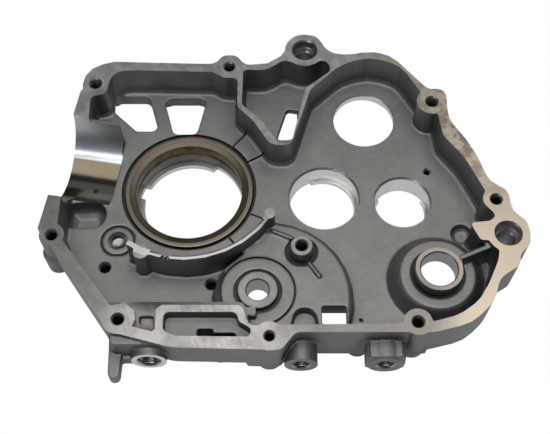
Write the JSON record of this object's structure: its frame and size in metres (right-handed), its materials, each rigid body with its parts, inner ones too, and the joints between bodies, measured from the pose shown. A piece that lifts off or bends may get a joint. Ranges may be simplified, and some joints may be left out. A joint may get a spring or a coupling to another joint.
{
  "type": "crankcase half",
  "caption": "Cast aluminium right crankcase half of a small horizontal engine, split face up, with crank, gearbox, kick and shift shaft bores, a breather chamber, mounting lugs and a steel sleeve",
  "frame": {"origin": "middle of the part's box, on the clutch cover face that it lies on", "axes": "+X from the cylinder end to the gearbox end, +Y from the foot-peg bosses to the top of the engine, +Z out of the split face"},
  "size_m": [0.2704, 0.216, 0.042],
  "materials": {
    "cast_aluminium": "blasted grey casting with bright milled faces and bores",
    "bearing_steel": "turned steel, oily brown inside"
  },
  "bodies": {
    "root": {"crankcase_casting": "cast_aluminium", "main_bearing_sleeve": "bearing_steel"}
  },
  "joints": []
}
